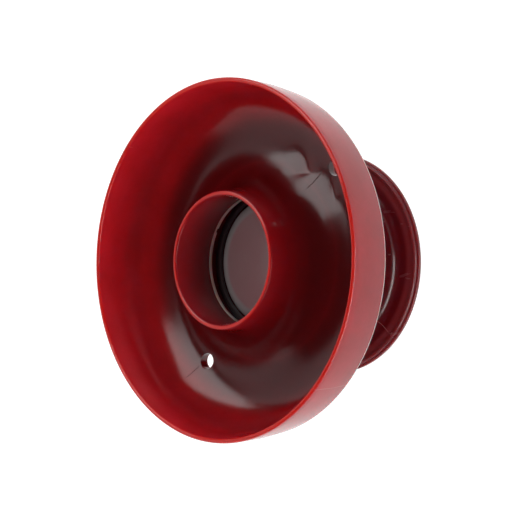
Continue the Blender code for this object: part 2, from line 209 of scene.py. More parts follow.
def block(name, low, high, azimuth=0.0):
    """Box between two corners in millimetres, turned about Z by an azimuth."""
    bpy.ops.object.select_all(action="DESELECT")
    centre = [0.5 * (a + b) * MM for a, b in zip(low, high)]
    bpy.ops.mesh.primitive_cube_add(size=1.0, location=centre)
    obj = bpy.context.object
    obj.name = obj.data.name = name
    obj.scale = [(b - a) * MM for a, b in zip(low, high)]
    settle(obj)
    obj.data.transform(Matrix.Rotation(math.radians(azimuth), 4, "Z"))
    return obj


def settle(obj):
    """Applies place, turn and scale, so that the object sits at the origin."""
    bpy.ops.object.select_all(action="DESELECT")
    obj.select_set(True)
    bpy.context.view_layer.objects.active = obj
    bpy.ops.object.transform_apply(location=True, rotation=True, scale=True)


def combine(target, tool, operation):
    """Joins or cuts with an exact Boolean, applies it and deletes the tool."""
    bpy.ops.object.select_all(action="DESELECT")
    target.select_set(True)
    bpy.context.view_layer.objects.active = target
    mod = target.modifiers.new("shape", "BOOLEAN")
    mod.operation = operation
    mod.solver = "EXACT"
    mod.object = tool
    bpy.ops.object.modifier_apply(modifier=mod.name)
    bpy.data.objects.remove(tool, do_unlink=True)


def place_piece(obj, body, nodes, material):
    """Gives a piece its material and body, and hides the nodes that it replaces."""
    obj.data.materials.clear()
    obj.data.materials.append(material)
    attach(obj, body)
    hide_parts(*nodes)


# Tints laid over the red pigment, sRGB hex: painted glow, highlights, shade and light, and the
# parting ridge's and weld seam's own colours.
PAINTED_GLOW_EDGE, PAINTED_HIGHLIGHT_EDGE = "B82A24", "F0BCBA"  # painted glow on thin edges, and painted highlight on the lip and the band's back edge
PAINTED_SHADE_RED, WELD_RED = "5A0C13", "2A0508"  # painted shade in the trough and on the tube's flank, and the flow fronts' seam
RIDGE_RED, PAINTED_LIGHT_RED = "D88C8C", "8A3A40"  # parting ridge, and painted light on the foot's outer flange


# Material tools. --------------------------------------------------------------
def linear(hex_colour):
    """Linear RGBA from an sRGB hex string."""
    values = [int(hex_colour[i:i + 2], 16) / 255.0 for i in (0, 2, 4)]
    return (*[v / 12.92 if v <= 0.04045 else ((v + 0.055) / 1.055) ** 2.4
              for v in values], 1.0)


def add_node(tree, kind, settings=None, inputs=None):
    """Adds a node, sets its properties, and sets or links its inputs."""
    node = tree.nodes.new(kind)
    for key, value in (settings or {}).items():
        setattr(node, key, value)
    for key, value in (inputs or {}).items():
        if isinstance(value, bpy.types.NodeSocket):
            tree.links.new(value, node.inputs[key])
        else:
            node.inputs[key].default_value = value
    return node


def new_material(name):
    """Material with an output and nothing else; returns it with its node tree."""
    material = bpy.data.materials.new(name)
    material.use_nodes = True
    material.node_tree.nodes.clear()
    return material, material.node_tree


def per_mm(size_mm):
    """Noise scale whose features are about size_mm across."""
    return 1.0 / (size_mm * MM)


def stripe(tree, position, azimuth, half_width_mm):
    """1 on the vertical plane through the axis at an azimuth, falling to 0."""
    t = math.radians(azimuth)
    across = add_node(tree, "ShaderNodeVectorMath", {"operation": "DOT_PRODUCT"},
                      {0: position, 1: (math.sin(t), -math.cos(t), 0.0)})
    away = add_node(tree, "ShaderNodeMath", {"operation": "ABSOLUTE"}, {0: across.outputs["Value"]})
    fade = add_node(tree, "ShaderNodeMapRange", {"interpolation_type": "SMOOTHSTEP"},
                    {"Value": away.outputs[0], "From Min": 0.0,
                     "From Max": half_width_mm * MM, "To Min": 1.0, "To Max": 0.0})
    return fade.outputs[0]


def window(tree, value, low_mm, high_mm, soft_mm, times=1.0):
    """1 where a length lies between two limits, with soft ends, times another mask."""
    low, high, soft = low_mm * MM, high_mm * MM, soft_mm * MM
    up = add_node(tree, "ShaderNodeMapRange", {"interpolation_type": "SMOOTHSTEP"},
                  {"Value": value, "From Min": low - soft, "From Max": low + soft})
    down = add_node(tree, "ShaderNodeMapRange", {"interpolation_type": "SMOOTHSTEP"},
                    {"Value": value, "From Min": high - soft, "From Max": high + soft,
                     "To Min": 1.0, "To Max": 0.0})
    both = add_node(tree, "ShaderNodeMath", {"operation": "MULTIPLY"},
                    {0: up.outputs[0], 1: down.outputs[0]})
    masked = add_node(tree, "ShaderNodeMath", {"operation": "MULTIPLY"},
                      {0: both.outputs[0], 1: times})
    return masked.outputs[0]


def axial(tree):
    """Position on the part, its height, and its distance from the bowl's axis."""
    place = add_node(tree, "ShaderNodeTexCoord").outputs["Object"]
    axes = add_node(tree, "ShaderNodeSeparateXYZ", {}, {0: place})
    flat = add_node(tree, "ShaderNodeCombineXYZ", {},
                    {"X": axes.outputs["X"], "Y": axes.outputs["Y"]})
    radius = add_node(tree, "ShaderNodeVectorMath", {"operation": "LENGTH"},
                      {0: flat.outputs[0]})
    return place, axes.outputs["Z"], radius.outputs["Value"]


def red_pigment(tree, place, pigment_hex, streak_hex):
    """Body colour that drifts over about 25 mm, with finer streaks of about 5 mm."""
    drift = add_node(tree, "ShaderNodeTexNoise", {},
                     {"Vector": place, "Scale": per_mm(25.0), "Detail": 3.0})
    streaks = add_node(tree, "ShaderNodeTexNoise", {},
                       {"Vector": place, "Scale": per_mm(5.0), "Detail": 2.0, "Distortion": 1.5})
    pigment = add_node(tree, "ShaderNodeMath", {"operation": "MULTIPLY_ADD"},
                       {0: streaks.outputs["Fac"], 1: 0.4, 2: drift.outputs["Fac"]})
    amount = add_node(tree, "ShaderNodeMapRange", {},
                      {"Value": pigment.outputs[0], "From Min": 0.5, "From Max": 0.9})
    body = add_node(tree, "ShaderNodeMix", {"data_type": "RGBA"},
                    {"Factor": amount.outputs[0], 6: linear(pigment_hex), 7: linear(streak_hex)})
    return body.outputs[2]


def bowl_layers(tree, height, radius):
    """Painted glow on thin edges, painted highlights on the lip and band's back edge, and painted
    shade in the trough, as (mask, strength, hex).
    """
    # Painted glow where thin edges would let light through: rim and tube's mouth. Painted
    # highlights: tube's lower lip and band's back edge.
    rim = window(tree, height, BOWL_HIGH.z - 0.6, FAR, 0.3)
    in_tube = window(tree, radius, 0.0, TUBE_MOUTH_R + 1.2, 0.4)
    mouth = window(tree, height, TUBE_MOUTH_Z - 0.2, TUBE_MOUTH_Z + 0.4, 0.1, in_tube)
    in_bore = window(tree, radius, 30.0, BORE_GROOVE_R + 0.2, 0.1)
    lip = window(tree, height, LIP_Z - 0.2, LIP_Z + 1.9, 0.2, in_bore)
    on_band = window(tree, radius, BAND_R - 1.8, FAR, 0.3)
    back = window(tree, height, BAND_Z - 1.3, BAND_Z + 1.5, 0.2, on_band)
    edges = 0.0
    for mask in (rim, mouth, lip, back):
        edges = add_node(tree, "ShaderNodeMath", {"operation": "MAXIMUM"},
                         {0: edges, 1: mask}).outputs[0]

    # Painted shade: the deep trough and the tube's flank are darkened, standing in for the shade
    # that falls there.
    trough = add_node(tree, "ShaderNodeMapRange", {"interpolation_type": "SMOOTHSTEP"},
                      {"Value": height, "From Min": (TROUGH_Z + 0.4) * MM,
                       "From Max": (TROUGH_Z + 5.7) * MM, "To Min": 0.8, "To Max": 0.0})
    flank = add_node(tree, "ShaderNodeMath", {"operation": "MULTIPLY"},
                     {0: window(tree, radius, 0.0, SHADED_FLANK_R, 4.0), 1: 0.62})
    painted_shade_zone = add_node(tree, "ShaderNodeMath", {"operation": "MAXIMUM"},
                      {0: trough.outputs[0], 1: flank.outputs[0]})
    not_edge = add_node(tree, "ShaderNodeMath", {"operation": "SUBTRACT"}, {0: 1.0, 1: edges})
    # Painted shade mask over the trough and flank, leaving the painted edges out.
    thick = add_node(tree, "ShaderNodeMath", {"operation": "MULTIPLY"},
                     {0: painted_shade_zone.outputs[0], 1: not_edge.outputs[0]})
    # Painted glow on rim and mouth, painted highlights on lip and back edge, painted shade in the
    # trough and flank.
    return [(rim, 1.0, PAINTED_GLOW_EDGE), (mouth, 1.0, PAINTED_GLOW_EDGE), (lip, 1.0, PAINTED_HIGHLIGHT_EDGE),
            (back, 1.0, PAINTED_HIGHLIGHT_EDGE), (thick.outputs[0], 1.0, PAINTED_SHADE_RED)]


def weld_lines(tree, place, height, radius):
    """Masks of two fine weld lines: out from one hole, and in from the other."""
    east = add_node(tree, "ShaderNodeSeparateXYZ", {}, {0: place}).outputs["X"]
    masks = []
    for azimuth, inner_r, outer_r, side in (
            (HOLE_AZIMUTHS[0] + 4.5, 53.0, 63.0, "GREATER_THAN"),
            (HOLE_AZIMUTHS[1] - 1.5, 78.5, 87.0, "LESS_THAN")):
        line = stripe(tree, place, azimuth, 0.35)
        reach = window(tree, radius, inner_r, outer_r, 1.2, line)
        on_side = add_node(tree, "ShaderNodeMath", {"operation": side}, {0: east, 1: 0.0})
        reach = window(tree, height, 58.0, 90.0, 1.0, reach)
        masks.append(add_node(tree, "ShaderNodeMath", {"operation": "MULTIPLY"},
                              {0: reach, 1: on_side.outputs[0]}).outputs[0])
    return masks


def moulded_red(name, roughness, marks, pigment_hex, streak_hex):
    """Injection-moulded glossy polypropylene, pigmented deep red.

    The eye gets a saturated body colour with faint flow streaks, a polished
    mould's slight orange peel, fine handling scuffs that dull the gloss, and
    the thin line where the mould's halves met. `marks` adds the bowl's painted
    shade in the trough, painted glow and highlights on thin edges, and the weld
    lines beside its fixing holes; without it, the pedestal's outer flange gets
    painted light.
    """
    material, tree = new_material(name)
    place, height, radius = axial(tree)
    colour = red_pigment(tree, place, pigment_hex, streak_hex)

    # Parting line: a fine witness ridge, 0.3 mm wide, on outer faces only.
    outside_r = BAND_R - 0.2 if marks else 36.0
    parting = stripe(tree, place, PARTING_AZIMUTH, 0.3)
    ridge = window(tree, radius, outside_r, FAR, 0.2, parting)
    layers = [(ridge, 0.3, RIDGE_RED)]
    relief = [(ridge, 0.6)]
    if marks:
        layers += bowl_layers(tree, height, radius)
        for weld in weld_lines(tree, place, height, radius):
            layers.append((weld, 0.7, WELD_RED))
            relief.append((weld, -0.8))
    else:
        # Painted light: the flange's outer part, out from under the bowl's shade, is painted paler.
        layers.append((window(tree, radius, 56.0, FAR, 1.6), 0.55, PAINTED_LIGHT_RED))
    for mask, strength, hex_colour in layers:
        amount = add_node(tree, "ShaderNodeMath", {"operation": "MULTIPLY"},
                          {0: mask, 1: strength})
        colour = add_node(tree, "ShaderNodeMix", {"data_type": "RGBA"},
                          {"Factor": amount.outputs[0], 6: colour,
                           7: linear(hex_colour)}).outputs[2]

    # Orange peel of 1.2 mm and waves of 9 mm, in hundredths of a millimetre.
    for size_mm, detail, amplitude in ((1.2, 2.0, 0.10), (9.0, 1.0, 0.55)):
        noise = add_node(tree, "ShaderNodeTexNoise", {},
                         {"Vector": place, "Scale": per_mm(size_mm), "Detail": detail})
        relief.append((noise.outputs["Fac"], amplitude))
    surface = 0.0
    for mask, amplitude in relief:
        surface = add_node(tree, "ShaderNodeMath", {"operation": "MULTIPLY_ADD"},
                           {0: mask, 1: amplitude, 2: surface}).outputs[0]
    bump = add_node(tree, "ShaderNodeBump", {}, {"Height": surface, "Distance": 0.1 * MM,
                                                 "Strength": 1.0})

    # Scuffs: thin stretched noise that roughens the polish here and there.
    drawn = add_node(tree, "ShaderNodeMapping", {},
                     {"Vector": place, "Rotation": (0.5, 0.2, 0.9), "Scale": (1.0, 5.0, 3.0)})
    scuffs = add_node(tree, "ShaderNodeTexNoise", {},
                      {"Vector": drawn.outputs[0], "Scale": per_mm(30.0), "Detail": 4.0,
                       "Roughness": 0.5})
    worn = add_node(tree, "ShaderNodeMapRange", {},
                    {"Value": scuffs.outputs["Fac"], "From Min": 0.45, "From Max": 0.75,
                     "To Min": roughness, "To Max": roughness + 0.05})

    shader = add_node(tree, "ShaderNodeBsdfPrincipled", {},
                      {"Base Color": colour, "Roughness": worn.outputs[0],
                       "Normal": bump.outputs[0], "IOR": 1.49,
                       "Subsurface Weight": 1.0, "Subsurface Radius": (1.0, 0.08, 0.06),
                       "Subsurface Scale": 9.0 * MM})
    add_node(tree, "ShaderNodeOutputMaterial", {}, {"Surface": shader.outputs[0]})
    return material


def moulded_smoke(name):
    """Thin moulded polypropylene, natural with a smoke tint, slightly see-through.

    The eye gets a grey with a painted pink reflection of the red tube, neutral
    and paler at the thick rounded edge, with a gloss that softens in broad patches.
    """
    material, tree = new_material(name)
    place, _, radius = axial(tree)
    edge = window(tree, radius, FLOAT_HIGH.x - 6.5, FLOAT_HIGH.x + 1.0, 1.6)
    cloud = add_node(tree, "ShaderNodeTexNoise", {},
                     {"Vector": place, "Scale": per_mm(14.0), "Detail": 3.0})
    drift = add_node(tree, "ShaderNodeMath", {"operation": "MULTIPLY"},
                     {0: cloud.outputs["Fac"], 1: 0.3})
    amount = add_node(tree, "ShaderNodeMath", {"operation": "MAXIMUM"},
                      {0: edge, 1: drift.outputs[0]})
    # Painted reflection: pink of the red tube in the middle, neutral grey at the rounded edge.
    body = add_node(tree, "ShaderNodeMix", {"data_type": "RGBA"},
                    {"Factor": amount.outputs[0], 6: linear(colours().smoke),
                     7: linear(colours().milk)})
    gloss = add_node(tree, "ShaderNodeMapRange", {},
                     {"Value": cloud.outputs["Fac"], "From Min": 0.3, "From Max": 0.7,
                      "To Min": 0.16, "To Max": 0.26})
    grain = add_node(tree, "ShaderNodeTexNoise", {},
                     {"Vector": place, "Scale": per_mm(2.0), "Detail": 2.0})
    bump = add_node(tree, "ShaderNodeBump", {}, {"Height": grain.outputs["Fac"],
                                                 "Distance": 0.03 * MM})
    shader = add_node(tree, "ShaderNodeBsdfPrincipled", {},
                      {"Base Color": body.outputs[2], "Roughness": gloss.outputs[0],
                       "Normal": bump.outputs[0], "IOR": 1.49, "Transmission Weight": 0.25,
                       "Subsurface Weight": 0.2, "Subsurface Radius": (1.0, 0.9, 0.9),
                       "Subsurface Scale": 2.0 * MM})
    add_node(tree, "ShaderNodeOutputMaterial", {}, {"Surface": shader.outputs[0]})
    return material


def moulded_ivory(name, roughness):
    """Injection-moulded acetal or nylon, unpigmented, with a spark-eroded finish.

    The eye gets a warm off-white, faintly greasy sheen and a fine even grain.
    """
    material, tree = new_material(name)
    place = add_node(tree, "ShaderNodeTexCoord").outputs["Object"]
    cloud = add_node(tree, "ShaderNodeTexNoise", {},
                     {"Vector": place, "Scale": per_mm(6.0), "Detail": 3.0})
    body = add_node(tree, "ShaderNodeMix", {"data_type": "RGBA"},
                    {"Factor": cloud.outputs["Fac"], 6: linear(colours().ivory),
                     7: linear("C9C0A8")})
    grain = add_node(tree, "ShaderNodeTexNoise", {},
                     {"Vector": place, "Scale": per_mm(0.25), "Detail": 2.0})
    bump = add_node(tree, "ShaderNodeBump", {}, {"Height": grain.outputs["Fac"],
                                                 "Distance": 0.02 * MM})
    worn = add_node(tree, "ShaderNodeMapRange", {},
                    {"Value": cloud.outputs["Fac"], "From Min": 0.3, "From Max": 0.7,
                     "To Min": roughness - 0.05, "To Max": roughness + 0.08})
    shader = add_node(tree, "ShaderNodeBsdfPrincipled", {},
                      {"Base Color": body.outputs[2], "Roughness": worn.outputs[0],
                       "Normal": bump.outputs[0], "IOR": 1.48, "Subsurface Weight": 0.15,
                       "Subsurface Radius": (1.0, 0.9, 0.7), "Subsurface Scale": 1.0 * MM})
    add_node(tree, "ShaderNodeOutputMaterial", {}, {"Surface": shader.outputs[0]})
    return material


def moulded_rubber(name):
    """Compression-moulded black EPDM: matt, with a bloom of grey dust in its grain."""
    material, tree = new_material(name)
    place = add_node(tree, "ShaderNodeTexCoord").outputs["Object"]
    bloom = add_node(tree, "ShaderNodeTexNoise", {},
                     {"Vector": place, "Scale": per_mm(3.0), "Detail": 4.0})
    body = add_node(tree, "ShaderNodeMix", {"data_type": "RGBA"},
                    {"Factor": bloom.outputs["Fac"], 6: linear("4A4042"), 7: linear("5C5052")})
    grain = add_node(tree, "ShaderNodeTexNoise", {},
                     {"Vector": place, "Scale": per_mm(0.3), "Detail": 3.0})
    bump = add_node(tree, "ShaderNodeBump", {}, {"Height": grain.outputs["Fac"],
                                                 "Distance": 0.04 * MM})
    dull = add_node(tree, "ShaderNodeMapRange", {},
                    {"Value": bloom.outputs["Fac"], "To Min": 0.5, "To Max": 0.75})
    shader = add_node(tree, "ShaderNodeBsdfPrincipled", {},
                      {"Base Color": body.outputs[2], "Roughness": dull.outputs[0],
                       "Normal": bump.outputs[0], "IOR": 1.52})
    add_node(tree, "ShaderNodeOutputMaterial", {}, {"Surface": shader.outputs[0]})
    return material


def worked_metal(name, light, dark, roughness, line_mm):
    """Turned brass or drawn stainless wire: fine tool lines along one direction."""
    material, tree = new_material(name)
    place = add_node(tree, "ShaderNodeTexCoord").outputs["Object"]
    drawn = add_node(tree, "ShaderNodeMapping", {}, {"Vector": place, "Scale": (0.05, 0.05, 1.0)})
    lines = add_node(tree, "ShaderNodeTexNoise", {},
                     {"Vector": drawn.outputs[0], "Scale": per_mm(line_mm), "Detail": 3.0})
    body = add_node(tree, "ShaderNodeMix", {"data_type": "RGBA"},
                    {"Factor": lines.outputs["Fac"], 6: linear(light), 7: linear(dark)})
    bump = add_node(tree, "ShaderNodeBump", {}, {"Height": lines.outputs["Fac"],
                                                 "Distance": 0.01 * MM})
    worn = add_node(tree, "ShaderNodeMapRange", {},
                    {"Value": lines.outputs["Fac"], "To Min": roughness - 0.08,
                     "To Max": roughness + 0.12})
    shader = add_node(tree, "ShaderNodeBsdfPrincipled", {},
                      {"Base Color": body.outputs[2], "Roughness": worn.outputs[0],
                       "Normal": bump.outputs[0], "Metallic": 1.0})
    add_node(tree, "ShaderNodeOutputMaterial", {}, {"Surface": shader.outputs[0]})
    return material


# Outlines and special shapes. -------------------------------------------------
def bowl_outline():
    """Section of bowl, tube and collar, clockwise from the tube's mouth."""
    rim_r, rim_z = sizes().rim_radius / MM, sizes().rim_height / MM
    in_centre, in_half = (TROUGH_R, 86.0), (29.1, 86.0 - TROUGH_Z)
    out_centre, out_half = (TROUGH_R, 87.0), (28.0, 87.0 - TROUGH_Z)
    under_in = (in_half[0] + WALL, in_half[1] + WALL)
    under_out = (out_half[0] + WALL, out_half[1] + WALL)
    collar_deg = 180.0 + math.degrees(math.acos((TROUGH_R - COLLAR_OUT_R) / under_in[0]))
    mouth_mid = 0.5 * (BORE_MOUTH_R + TUBE_MOUTH_R)
    outline = arc((mouth_mid, TUBE_MOUTH_Z - 0.9), (mouth_mid - BORE_MOUTH_R, 0.9), 180, 0, 8)
    outline += arc(in_centre, in_half, 180, 270, 40)
    outline += arc(out_centre, out_half, 270, 360, 40)[1:]
    outline += [(97.0, rim_z - 5.0), (97.35, rim_z - 2.0)]
    outline += arc((98.7, rim_z - 1.25), (1.3, 1.25), 180, 0, 10)
    outline += [(rim_r - 0.32, 94.0), (rim_r - 0.8, 85.0), (BAND_R + 0.35, 75.0)]
    outline += arc((BAND_R - 1.5, BAND_Z + 1.5), (1.5, 1.5), 0, -90, 8)
    outline += arc((BAND_R - 1.9, BAND_Z + 0.4), (0.4, 0.4), -90, -180, 4)
    outline += arc(out_centre, under_out, -28, -90, 24)
    outline += arc(in_centre, under_in, 270, collar_deg, 20)[1:]
    outline += [(COLLAR_OUT_R, BOWL_LOW.z + 0.3), (COLLAR_OUT_R - 0.3, BOWL_LOW.z),
                (COLLAR_IN_R + 0.4, BOWL_LOW.z), (COLLAR_IN_R, BOWL_LOW.z + 0.4),
                (COLLAR_IN_R, SHOULDER_Z), (GALLERY_R + 0.2, SHOULDER_Z),
                (GALLERY_R, SHOULDER_Z + 0.2), (GALLERY_R, LIP_Z)]
    outline += arc((BORE_LIP_R + 0.4, LIP_Z + 0.4), (0.4, 0.4), 270, 180, 4)
    outline += arc((BORE_GROOVE_R, LIP_Z + 0.9), (0.7, 0.9), 180, 100, 8)
    outline += [(BORE_GROOVE_R, LIP_Z + 2.2), (BORE_GROOVE_R + 0.05, LIP_Z + 3.0)]
    outline += [(BORE_GROOVE_R - 0.05, LIP_Z + 3.8), (BORE_LIP_R + 0.35, LIP_Z + 5.6),
                (BORE_LIP_R + 0.1, LIP_Z + 7.0), (BORE_LIP_R - 0.05, LIP_Z + 9.0),
                (BORE_LIP_R - 0.35, LIP_Z + 16.0)]
    return outline


def dent(obj, azimuth, radius_mm, half_r, half_t, depth):
    """Presses a soft oval hollow into the trough's upper face: a sink mark."""
    t = math.radians(azimuth)
    outward = Vector((math.cos(t), math.sin(t), 0.0))
    side = Vector((-math.sin(t), math.cos(t), 0.0))
    floor_top = (TUBE_MOUTH_Z - 10.0) * MM
    for vertex in obj.data.vertices:
        reach = vertex.co.dot(outward) / MM - radius_mm
        across = vertex.co.dot(side) / MM
        far = (reach / half_r) ** 2 + (across / half_t) ** 2
        if far < 9.0 and vertex.normal.z > 0.1 and vertex.co.z < floor_top:
            vertex.co.z -= depth * math.exp(-0.5 * far)


def crease(obj, centre, along_deg, half_length, near, far, depth):
    """Presses a crease into the trough's upper face: steep on one side, soft on the other."""
    t = math.radians(along_deg)
    along, across = Vector((math.cos(t), math.sin(t))), Vector((-math.sin(t), math.cos(t)))
    floor_top = (TUBE_MOUTH_Z - 10.0) * MM
    for vertex in obj.data.vertices:
        offset = Vector(vertex.co.xy) / MM - Vector(centre)
        beyond = offset.dot(across)
        fade = math.exp(-abs(beyond) / (far if beyond > 0.0 else near))
        fade *= math.exp(-0.5 * (offset.dot(along) / half_length) ** 2)
        if fade > 0.01 and vertex.normal.z > 0.1 and vertex.co.z < floor_top:
            vertex.co.z -= depth * fade * MM


def water_way_wall():
    """Wall of the water way under the trough's inner slope, on the -X side."""
    outline = [(-42.0, 62.3), (-54.0, 62.3), (-54.0, 63.6), (-50.0, 65.8),
               (-44.5, 69.5), (-42.0, 69.5)]
    obj = edge_start("water_way_wall", 0.5 * MM)
    trace(outline, lambda p: Vector((p[0] * MM, -6.0 * MM, p[1] * MM)))
    bpy.ops.mesh.select_all(action="SELECT")
    bpy.ops.mesh.remove_doubles(threshold=2e-6)
    bpy.ops.mesh.select_all(action="SELECT")
    bpy.ops.mesh.edge_face_add()
    bpy.ops.mesh.extrude_region_move(TRANSFORM_OT_translate={"value": (0.0, 12.0 * MM, 0.0)})
    return finish_mesh(obj, 30.0)


# Operators: one for each piece or group. --------------------------------------
class FOUNT_OT_bowl(bpy.types.Operator):
    """Builds the bowl, trough and central tube as one fine moulding"""

    bl_idname = "fount.bowl"
    bl_label = "Bowl"

    def execute(self, context):
        bowl = turned("bowl_shell", bowl_outline(), sizes().turned_steps)
        depth = sizes().sink_depth
        dent(bowl, azimuth=HOLE_AZIMUTHS[1] + 6.0, radius_mm=TROUGH_R, half_r=5.0,
             half_t=4.0, depth=0.4 * depth)
        crease(bowl, centre=(30.5, 49.3), along_deg=6.0, half_length=4.5,
               near=4.0, far=9.0, depth=1.5)
        crease(bowl, centre=(51.0, 38.0), along_deg=100.0, half_length=4.5,
               near=1.8, far=4.0, depth=0.6)
        combine(bowl, water_way_wall(), "UNION")
        for azimuth in HOLE_AZIMUTHS:
            t = math.radians(azimuth)
            centre = (HOLE_RING_R * math.cos(t), HOLE_RING_R * math.sin(t))
            combine(bowl, prism("boss", BOSS_R, centre, BOSS_Z, TROUGH_Z - 0.05, 64), "UNION")
            combine(bowl, prism("hole", HOLE_R, centre, 50.0, 75.0, 64), "DIFFERENCE")
        combine(bowl, block("way", (-58.0, -4.0, 64.5), (-38.0, 4.0, 67.0)), "DIFFERENCE")
        notch = block("notch", (BORE_LIP_R - 1.0, -1.3, LIP_Z - 1.0),
                      (BORE_LIP_R + 1.3, 1.3, LIP_Z + 1.1), GATE_AZIMUTH)
        combine(bowl, notch, "DIFFERENCE")
        bpy.ops.object.shade_smooth_by_angle(angle=math.radians(32.0))
        place_piece(bowl, "fount", ["trough_bowl"],
                    moulded_red("red polypropylene, polished mould, bowl", 0.17, True,
                                colours().red, colours().deep_red))
        return {"FINISHED"}


class FOUNT_OT_pedestal(bpy.types.Operator):
    """Builds the neck, flared foot and valve web"""

    bl_idname = "fount.pedestal"
    bl_label = "Pedestal"

    def execute(self, context):
        foot_r, neck_r, bore_r = FOOT_HIGH.x, 39.0, 36.8
        top, bead_r, rim_z, web_z, web_t = FOOT_HIGH.z, 41.0, 3.6, 20.0, 2.5
        hub_r, hub_top, flange_z, round_r, skin = 48.4, 22.3, 3.0, 5.0, 2.3
        fillet = (hub_r + round_r, flange_z + round_r)
        shoulder = (hub_r - round_r, hub_top - round_r)
        outline = [(neck_r, top - 2.5), (neck_r, hub_top + 1.0)]
        outline += arc((neck_r + 1.0, hub_top + 1.0), (1.0, 1.0), 180, 270, 6)
        outline += arc(shoulder, (round_r, round_r), 90, 0, 16)
        outline += arc(fillet, (round_r, round_r), 180, 270, 24)
        outline += [(59.4, 2.65), (60.0, 2.65)] + arc((60.0, 3.05), (0.4, 0.4), 270, 340, 4)
        outline += arc((61.55, rim_z - 1.1), (1.1, 1.1), 165, 0, 14)
        outline += arc((63.05, rim_z - 1.1), (0.4, 0.4), 180, 270, 4)
        outline += arc((foot_r - 0.6, rim_z - 2.1), (0.6, 0.6), 90, 0, 5)
        outline += arc((foot_r - 0.6, 0.6), (0.6, 0.6), 0, -90, 5)
        outline += [(59.2, 0.0)] + arc((59.2, 0.5), (0.5, 0.5), -90, -150, 3) + [(58.2, 0.7)]
        outline += arc(fillet, (round_r + skin, round_r + skin), 270, 180, 20)
        outline += arc((shoulder[0], web_z - round_r + skin),
                       (round_r - skin, round_r - skin), 0, 90, 10)
        outline += [(6.6, web_z), (6.3, web_z + 0.3), (6.3, web_z + web_t)]
        outline += arc((bore_r - 1.0, web_z + web_t + 1.0), (1.0, 1.0), 270, 360, 4)
        outline += [(bore_r, top - 0.3), (bore_r + 0.3, top)]
        outline += arc((bead_r - 0.6, top - 0.6), (0.6, 0.6), 90, 0, 4)
        outline += [(bead_r, top - 2.3), (bead_r - 0.2, top - 2.5)]
        foot = turned("pedestal_shell", outline, sizes().turned_steps)
        place_piece(foot, "fount", ["pedestal"],
                    moulded_red("dark red polypropylene, polished mould, pedestal", 0.24, False,
                                colours().foot_red, colours().foot_streak))
        return {"FINISHED"}


class FOUNT_OT_lock_ring(bpy.types.Operator):
    """Builds the lock ring with rounded grip ribs and the neck gasket it squeezes"""

    bl_idname = "fount.lock_ring"
    bl_label = "Lock ring and gasket"

    def execute(self, context):
        low, high, ribs = RING_LOW.z, RING_HIGH.z, 12
        outer, inner, neck = 47.4, COLLAR_OUT_R + 0.3, 39.4
        flange_top = BOWL_LOW.z - 0.3
        outline = arc((neck + 0.4, low + 0.4), (0.4, 0.4), 180, 270, 3)
        outline += arc((outer - 0.6, low + 0.6), (0.6, 0.6), 270, 360, 5)
        outline += arc((outer - 0.6, high - 0.6), (0.6, 0.6), 0, 90, 5)
        outline += [(inner + 0.4, high), (inner, high - 0.4), (inner, flange_top),
                    (neck + 0.3, flange_top), (neck, flange_top - 0.3)]
        ring = turned("lock_ring_shell", outline, 160)
        for i in range(ribs):
            t = math.tau * (i + 0.5) / ribs
            centre = (outer * math.cos(t), outer * math.sin(t))
            combine(ring, prism("rib", 1.28, centre, low + 0.8, high - 0.8, 24), "UNION")
        bpy.ops.object.shade_smooth_by_angle(angle=math.radians(32.0))
        place_piece(ring, "lock_ring", ["lock_ring"],
                    moulded_red("red polypropylene, fine matt mould, lock ring", 0.3, False,
                                colours().red, colours().deep_red))

        low, high, inner, outer = GASKET_LOW.z, GASKET_HIGH.z, 36.6, GASKET_HIGH.x
        outline = [(inner + 0.3, low), (outer - 0.3, low), (outer, low + 0.3),
                   (outer, high - 0.3), (outer - 0.3, high), (inner + 0.5, high),
                   (inner + 0.1, high - 0.4), (inner, low + 0.4)]
        gasket = turned("gasket_ring", outline, 160)
        place_piece(gasket, "fount", ["neck_gasket"],
                    moulded_rubber("black rubber, compression moulded, gasket"))
        return {"FINISHED"}


class FOUNT_OT_float(bpy.types.Operator):
    """Builds the bell-shaped float with its hanger socket"""

    bl_idname = "fount.float"
    bl_label = "Float"

    def execute(self, context):
        top, low, outer = FLOAT_HIGH.z, FLOAT_LOW.z, FLOAT_HIGH.x
        roof = top - 1.5
        outline = [(0.0, top)] + arc((outer - 7.0, top - 4.0), (7.0, 4.0), 90, 0, 20)
        outline += [(outer, low + 0.3), (outer - 0.3, low), (outer - 1.3, low),
                    (outer - 1.6, low + 0.3)]
        outline += arc((outer - 7.6, roof - 3.6), (6.0, 3.6), 0, 90, 16) + [(0.0, roof)]
        disc = turned("float_shell", outline, 180)
        link_x, boss_z = 0.5 * (span("float_hanger")[0].x + span("float_hanger")[1].x), roof - 4.0
        combine(disc, prism("boss", 4.5, (link_x, 0.0), boss_z, roof + 0.7, 48), "UNION")
        combine(disc, prism("socket", 2.7, (link_x, 0.0), boss_z - 2.0, roof, 48), "DIFFERENCE")
        bpy.ops.object.shade_smooth_by_angle(angle=math.radians(32.0))
        place_piece(disc, "float", ["float_disc"],
                    moulded_smoke("smoke polypropylene, moulded, float"))
        return {"FINISHED"}


